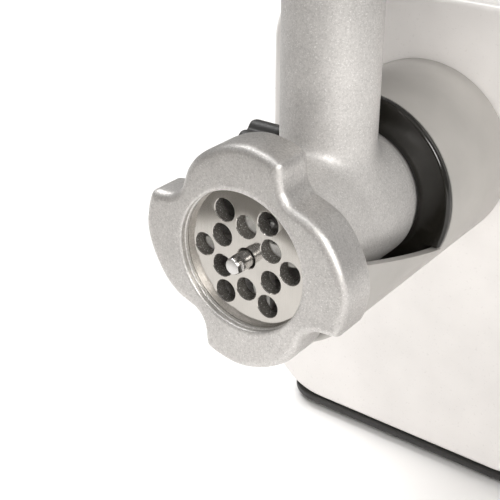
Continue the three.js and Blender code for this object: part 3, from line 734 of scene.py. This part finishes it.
def make_head_body():
    shape = HeadShape()
    blank = revolve("head_body_fine", [tuple(p) for p in shape.barrel], segments=72)
    boolean(blank, [revolve("tube", [tuple(p) for p in shape.tube], "z", (0, shape.tube_y), 56)], "UNION")
    remesh = blank.modifiers.new("remesh", "REMESH")
    remesh.mode = "VOXEL"
    remesh.voxel_size = 0.95 * MM
    bake(blank)
    count = len(blank.data.vertices)
    co = np.zeros(count * 3)
    blank.data.vertices.foreach_get("co", co)
    points = (co.reshape(-1, 3) - np.array(ORIGIN)) / MM
    blank.data.vertices.foreach_set("co", to_frame(shape.settle(points)).ravel())
    blank.data.update()
    top = span("head_body", 2)[1]
    tail = span("head_body", 1)[1]
    bore_end = span("auger", 1)[1] + 2
    inside = rounded([(0, -1), (27.3, -1), (27.3, 5.1), (22.6, 5.1), (22.6, bore_end), (9, bore_end),
                      (9, tail + 1), (0, tail + 1)], [0, 0, 0.3, 0.3, 2, 0.5, 0, 0], 4)
    feed_bore = TUBE["bore"]
    feed = rounded([(0, 0), (feed_bore, 0), (feed_bore, top - 8), (16, top - 8), (16, top + 1), (0, top + 1)],
                   [0, 0, 0.4, 0.4, 0, 0], 4)
    boolean(blank, [revolve("inside", inside, segments=96), revolve("feed", feed, "z", (0, shape.tube_y), 72)])
    stands_for(blank, "head_body", BARREL, sharp=38)


TRAY = {"depth": 24, "corner": 40, "wall": 1.0, "bend": 9, "draft": 5.5}


def make_tray():
    x0, x1 = span("hopper_tray", 0)
    y0, y1 = span("hopper_tray", 1)
    bottom, top = span("hopper_tray", 2)
    floor = top - TRAY["depth"]
    wall = TRAY["wall"]
    drop_y = sum(span("pusher", 1)) / 2

    def ring(distance, z):
        outline = inset(rounded_rectangle(x0, x1, y0, y1, TRAY["corner"], 16), distance)
        return [(u, v, z) for u, v in outline]

    def shoulder(inside):
        """The bend from the floor to the wall, and the draft of the wall."""
        radius = TRAY["bend"] - (wall if inside else 0)
        base = floor + (wall if inside else 0)
        offset = TRAY["draft"] + 0.8 + (wall if inside else 0)
        bend = [ring(offset + radius * (1 - math.sin(a)), base + radius * (1 - math.cos(a)))
                for a in np.linspace(0, math.pi / 2, 8)]
        return [ring(36, base)] + bend

    lip = 1.4
    outer = shoulder(False) + [ring(2.3, top - 3.2)]
    rim = [ring(lip - lip * math.cos(a), top - lip + lip * math.sin(a))
           for a in np.linspace(-0.6, math.pi, 11)]
    inner = [ring(2.3 + wall + 0.3, top - 3.2)] + shoulder(True)[::-1]
    dish = loft("hopper_tray_fine", outer + rim + inner)
    neck = revolve("neck", rounded([(0, bottom), (15.6, bottom), (15.6, floor + 0.8), (0, floor + 0.8)],
                                   [0, 0.5, 0, 0], 3), "z", (0, drop_y), 72)
    boolean(dish, [neck], "UNION")
    drop = TUBE["bore"]
    flare = rounded([(0, bottom - 1), (drop, bottom - 1), (drop, floor - 1.2), (15.5, floor + wall + 0.6),
                     (0, floor + wall + 0.6)], [0, 0, 4, 0, 0], 4)
    boolean(dish, [revolve("drop", flare, "z", (0, drop_y), 72)])
    stands_for(dish, "hopper_tray", TRAY_STEEL, sharp=35)


def make_pusher():
    at = (0, sum(span("pusher", 1)) / 2)
    bottom, top = span("pusher", 2)
    seat = span("hopper_tray", 2)[1] - TRAY["depth"] + 2.6
    stem_out, skirt_out = 12.8, 17.5
    profile = rounded([(0, bottom), (stem_out, bottom), (stem_out, seat), (skirt_out, seat),
                       (skirt_out, seat + 3), (stem_out, seat + 9), (11.8, top - 18), (15, top), (0, top)],
                      [0, 2.5, 0.2, 0.8, 1.2, 6, 30, 0.5, 0], 6)
    stem = revolve("pusher_fine", profile, "z", at, 80)
    flutes = []
    flute = rounded([(0, seat + 14), (1.5, seat + 16), (1.5, top - 20), (0, top - 17)], 1, 3)
    for k in range(12):
        u, v = polar(12.6, 30 * k)
        flutes.append(revolve("flute", flute, "z", (at[0] + u, at[1] + v), 16))
    stands_for(boolean(stem, flutes), "pusher", NYLON, sharp=45)
    low, high = span("pusher_cap", 2)
    cap = rounded([(0, low), (19, low), (21, low + 2.6), (21, high - 5), (15, high - 0.8), (0, high)],
                  [0, 1, 2, 4, 14, 0], 7)
    stands_for(revolve("pusher_cap_fine", cap, "z", at, 96), "pusher_cap", BLACK_GRAIN, sharp=40)


# ---------- nose, collar and lock ----------
NOSE_OUT, NOSE_IN, LINER_IN = 37.4, 34.4, 31.5
RIM = ((14, 3.6), (72.2, -16))  # the cradle's side edge: (y, z) at its front and rear


def lock_y():
    """Where the lock screw's axis crosses the nose."""
    return sum(span("lock_stem", 1)) / 2


def lock_hole():
    """The cutter for the lock screw's way in."""
    return revolve("hole", [(0, -50), (4.5, -50), (4.5, -20), (0, -20)], "x", (lock_y(), 0), 32)


def above_cradle(mouth, drop):
    """What is cut away so that the nose's lower half becomes an open cradle with sloping sides."""
    (y0, z0), (y1, z1) = RIM
    slope = (z1 - z0) / (y1 - y0)
    outline = [(y0 - 4, z0 - 4 * slope - drop), (mouth, z0 + slope * (mouth - y0) - drop),
               (mouth, 60), (y0 - 4, 60)]
    return prism("above", outline, -60, 60, "x")


def make_nose():
    front, rear = span("gear_nose", 1)
    mouth = span("socket_collar", 1)[0] + 3.4
    section = rounded([(NOSE_IN, front), (NOSE_OUT, front), (NOSE_OUT, rear), (NOSE_IN, rear)],
                      [0.8, 1.6, 0.3, 0.3], 4, closed=True)
    nose = revolve("gear_nose_fine", section, segments=160, loop=True)
    hole = lock_hole()
    boolean(nose, [above_cradle(mouth, 0), hole])
    stands_for(soften(nose, 0.7, 40), "gear_nose", LIGHT_GREY)

    front, rear = span("cradle_liner", 1)
    liner_out = NOSE_IN - 0.3
    section = rounded([(LINER_IN, front), (liner_out, front), (liner_out, rear), (LINER_IN, rear)],
                      0.5, 3, closed=True)
    liner = revolve("cradle_liner_fine", section, segments=128, loop=True)
    boolean(liner, [above_cradle(mouth, 13)])
    stands_for(soften(liner, 0.5, 40), "cradle_liner", LIGHT_GREY)


def make_collar():
    front, rear = span("socket_collar", 1)
    hole, sleeve_out = 24.6, 34.1
    section = rounded([(hole, front), (31.2, front), (sleeve_out, front + 4.2), (sleeve_out, rear),
                       (hole, rear)], [1, 1, 0.2, 0.4, 0.4], 4, closed=True)
    sleeve = revolve("socket_collar_fine", section, segments=128, loop=True)
    face_in, face_rear = 28, front + 3.1
    section = rounded([(face_in, front), (NOSE_OUT, front), (NOSE_OUT, face_rear), (face_in, face_rear)],
                      [0, 1.3, 0.4, 0], 5, closed=True)
    face = revolve("face", section, segments=128, loop=True)
    boolean(face, [prism("below", [(-60, -60), (60, -60), (60, -14), (-60, -14)], front - 2, front + 6)])
    boolean(sleeve, [face], "UNION")
    boolean(sleeve, [lock_hole()])
    stands_for(sleeve, "socket_collar", BLACK_GLOSS)


def make_lock():
    x0, x1 = span("lock_knob", 0)
    at = (lock_y(), 0)
    radius, notch = 11.0, 2.5  # the knob's lobes, and how deep the grooves between them are
    outline = []
    steps, lobe = 160, 360 / 5
    for k in range(steps):
        degrees = 360 * k / steps
        from_notch = (degrees - lobe / 2) % lobe - lobe * ((degrees - lobe / 2) % lobe > lobe / 2)
        u, v = polar(radius - notch * math.exp(-(from_notch / 14) ** 2), degrees)
        outline.append((at[0] + u, at[1] + v))
    knob = prism("lock_knob_fine", outline, x0, x1, "x", edge=(1.8, 1.2), steps=6)
    hollow = rounded([(0, x0 - 1), (5.5, x0 - 1), (4.8, x0 + 1), (0, x0 + 1)], [0, 0, 0.6, 0], 3)
    dimple = revolve("dimple", hollow, "x", at, 48)
    bore = revolve("bore", [(0, x1 - 4.5), (4.3, x1 - 4.5), (4.3, x1 + 1), (0, x1 + 1)], "x", at, 32)
    stands_for(boolean(knob, [dimple, bore]), "lock_knob", BLACK_GRAIN, sharp=35)
    x0, x1 = span("lock_stem", 0)
    crest, root, pitch = 4, 3.45, 1.25
    profile = [(0, x0), (crest, x0)]
    for k in range(int((x1 - x0 - 3) / pitch)):
        t = x0 + 1 + pitch * k
        profile += [(crest, t), (root, t + 0.5), (root, t + 0.65), (crest, t + 1.15)]
    profile += [(3.2, x1 - 0.8), (2.4, x1), (0, x1)]
    stands_for(revolve("lock_stem_fine", profile, "x", at, 40), "lock_stem", TURNED)


# ---------- housing ----------
CORNER = 30  # the body's corner radius
WALL = 2.8  # the shells' thickness


def body_outline(distance=0, steps=16):
    x0, x1 = span("front_panel", 0)
    z0, z1 = span("front_panel", 2)
    return rounded_rectangle(x0 + distance, x1 - distance, z0 + distance, z1 - distance,
                             CORNER - distance, steps)


def half_line(distance, side):
    """The body's outline on one side of the seam, from its bottom to its top."""
    points = [p for p in body_outline(distance) if p[0] * side > 0]
    return sorted(points, key=lambda p: math.atan2(p[1] + 40, abs(p[0])))


def half_outline(side):
    """One half-shell's section: the outer line, then back along the inner line."""
    outer = half_line(0, side)
    inner = half_line(WALL, side)
    z0, z1 = span("front_panel", 2)
    seam = 0.15 * side
    return [(seam, z0)] + outer + [(seam, z1), (seam, z1 - WALL)] + inner[::-1] + [(seam, z0 + WALL)]


def make_shells():
    y0, y1 = span("left_shell", 1)
    for node, side in (("left_shell", -1), ("right_shell", 1)):
        shell = prism(f"{node}_fine", half_outline(side), y0, y1)
        if side > 0:
            low, high = span("rocker_bezel", 1)
            z0, z1 = span("rocker_bezel", 2)
            hole = rounded_rectangle(low + 2, high - 2, z0 + 2, z1 - 2, 2, 4)
            button_y = sum(span("reverse_button", 1)) / 2
            button_z = sum(span("reverse_button", 2)) / 2
            boolean(shell, [prism("hole", hole, 66, 80, "x"),
                            prism("hole", circle(9, (button_y, button_z), 48), 66, 80, "x")])
        stands_for(soften(shell, 0.5, 45, 2), node, WHITE, sharp=30)


def make_front_panel():
    y0, y1 = span("front_panel", 1)
    panel = prism("front_panel_fine", body_outline(), y0, y1, edge=(2.8, 0.2), steps=7)
    boolean(panel, [revolve("hole", [(0, y0 - 1), (18, y0 - 1), (18, y1 + 1), (0, y1 + 1)], segments=64)])
    stands_for(panel, "front_panel", WHITE, sharp=30)


VENTS = {"count": 9, "half": 45, "lowest": -112, "pitch": 12, "height": 4}


def make_rear_cover():
    y0, y1 = span("rear_cover", 1)
    cover = prism("rear_cover_fine", body_outline(), y0, y1, edge=(0.2, 2.8), steps=7)
    slots = []
    for k in range(VENTS["count"]):
        z = VENTS["lowest"] + VENTS["pitch"] * k
        corner = 0.48 * VENTS["height"]
        outline = rounded_rectangle(-VENTS["half"], VENTS["half"], z, z + VENTS["height"], corner, 6)
        slots.append(prism("slot", outline, y0 - 1, y1 + 1))
    inlet_z = sum(span("cord_inlet", 2)) / 2
    hole = [(0, y0 - 1), (5.5, y0 - 1), (5.5, y1 + 1), (0, y1 + 1)]
    slots.append(revolve("hole", hole, "y", (0, inlet_z), 48))
    boolean(cover, slots)
    stands_for(soften(cover, 0.5, 50, 2), "rear_cover", BLACK_GRAIN, sharp=30)

    y0, y1 = span("cord_inlet", 1)
    section = rounded([(3.6, y0), (8, y0), (8, y0 + 3), (6.4, y1), (3.6, y1)],
                      [0.3, 0.3, 1.2, 1.2, 0.8], 4, closed=True)
    stands_for(revolve("cord_inlet_fine", section, "y", (0, inlet_z), 64, loop=True), "cord_inlet", RUBBER)


def make_base():
    x0, x1 = span("base_plate", 0)
    y0, y1 = span("base_plate", 1)
    z0, z1 = span("base_plate", 2)
    outline = rounded_rectangle(x0, x1, y0, y1, 18, 12)
    stands_for(prism("base_plate_fine", outline, z0, z1, "z", edge=(1.6, 0.5)), "base_plate", BLACK_GRAIN)
    for end in ("front", "rear"):
        for side in ("left", "right"):
            node = f"foot_{end}_{side}"
            at = [sum(span(node, axis)) / 2 for axis in (0, 1)]
            z0, z1 = span(node, 2)
            r = (span(node, 0)[1] - span(node, 0)[0]) / 2
            profile = rounded([(0, z0 + 0.3), (4, z0 + 0.3), (4.6, z0), (r - 1.3, z0), (r, z1), (0, z1)],
                              [0, 0.3, 0.3, 1.0, 0.3, 0], 4)
            stands_for(revolve(f"{node}_fine", profile, "z", at, 56), node, RUBBER)
            node = f"base_screw_{end}_{side}"
            at = [sum(span(node, axis)) / 2 for axis in (0, 1)]
            z0, z1 = span(node, 2)
            profile = rounded([(0, z0), (2.9, z0), (3.6, z1 - 0.5), (3.6, z1), (0, z1)],
                              [0, 0.8, 0.3, 0, 0], 4)
            head = revolve(f"{node}_fine", profile, "z", at, 32)
            cross = []
            for w, h in ((1.8, 0.4), (0.4, 1.8)):
                slot = rounded_rectangle(at[0] - w, at[0] + w, at[1] - h, at[1] + h, 0.15, 2)
                cross.append(prism("cross", slot, z0 - 1, z0 + 1, "z"))
            stands_for(boolean(head, cross), node, TURNED, sharp=30)


def make_handle():
    """An arch of soft rectangular section."""
    y0, y1 = span("carry_handle", 1)
    z0, z1 = span("carry_handle", 2)
    half = span("carry_handle", 0)[1]
    foot, grip = 14, 11  # thickness of the legs and of the grip
    outer = rounded([(y0, z0), (y0 + 2.5, z1), (y1 - 2.5, z1), (y1, z0)], [0, 18, 18, 0], 12)
    inner = rounded([(y0 + foot, z0), (y0 + foot + 1.5, z1 - grip), (y1 - foot - 1.5, z1 - grip),
                     (y1 - foot, z0)], [0, 11, 11, 0], 12)
    rows = []
    count, squareness = 26, 0.35
    for (a, c), (b, d) in zip(outer, inner):
        row = []
        for k in range(count):
            angle = TAU * k / count
            u = math.copysign(abs(math.cos(angle)) ** squareness, math.cos(angle))
            v = math.copysign(abs(math.sin(angle)) ** squareness, math.sin(angle))
            part = 0.5 - 0.5 * v
            row.append((half * u, a + (b - a) * part, c + (d - c) * part))
        rows.append(row)
    stands_for(loft("carry_handle_fine", rows), "carry_handle", BLACK_GRAIN, sharp=55)


def make_controls():
    x0, x1 = span("rocker_bezel", 0)
    y0, y1 = span("rocker_bezel", 1)
    z0, z1 = span("rocker_bezel", 2)
    outline = rounded_rectangle(y0, y1, z0, z1, 4, 8)
    bezel = prism("rocker_bezel_fine", outline, x0, x1, "x", edge=(0.1, 1.2))
    rim = 3.4
    hole = rounded_rectangle(y0 + rim, y1 - rim, z0 + rim, z1 - rim, 1, 4)
    boolean(bezel, [prism("hole", hole, x0 - 2, x1 + 2, "x")])
    stands_for(bezel, "rocker_bezel", BLACK_GLOSS)

    low, high = span("power_rocker", 0)
    ya, yb = span("power_rocker", 1)
    za, zb = span("power_rocker", 2)
    middle = (ya + yb) / 2
    outline = rounded([(low, ya), (low + 3.2, ya), (low + 2.4, middle), (high, yb), (low, yb)],
                      [0.3, 0.8, 26, 0.8, 0.3], 8, closed=True)
    rocker = prism("power_rocker_fine", outline, za, zb, "z", edge=(0.6, 0.6))
    stands_for(rocker, "power_rocker", BLACK_GLOSS, sharp=35)

    low, high = span("button_bezel", 0)
    at = (sum(span("reverse_button", 1)) / 2, sum(span("reverse_button", 2)) / 2)
    section = rounded([(7.0, low), (10.5, low), (10.5, high), (7.0, high)],
                      [0.1, 0.1, 1.2, 0.6], 5, closed=True)
    stands_for(revolve("button_bezel_fine", section, "x", at, 72, loop=True), "button_bezel", BLACK_GLOSS)
    low, high = span("reverse_button", 0)
    profile = rounded([(0, low), (2, low), (2, low + 6), (6.5, low + 6), (6.5, high - 0.2), (4, high),
                       (3.4, high - 0.5), (0, high - 0.6)], [0, 0.3, 0, 0.3, 0.9, 0.4, 0.3, 0], 4)
    stands_for(revolve("reverse_button_fine", profile, "x", at, 64), "reverse_button", RUBBER)


def dress_inside():
    """CAD nodes that stay as they are get their procedural material."""
    for name, obj in frame["nodes"].items():
        obj.data.materials.clear()
        obj.data.materials.append(INSIDE[SLOTS[name]])


make_camera()
make_studio()
dress_inside()
make_ring_nut()
make_grinding_plate()
make_pin()
make_knife()
make_auger()
make_head_body()
make_tray()
make_pusher()
make_nose()
make_collar()
make_lock()
make_shells()
make_front_panel()
make_rear_cover()
make_base()
make_handle()
make_controls()
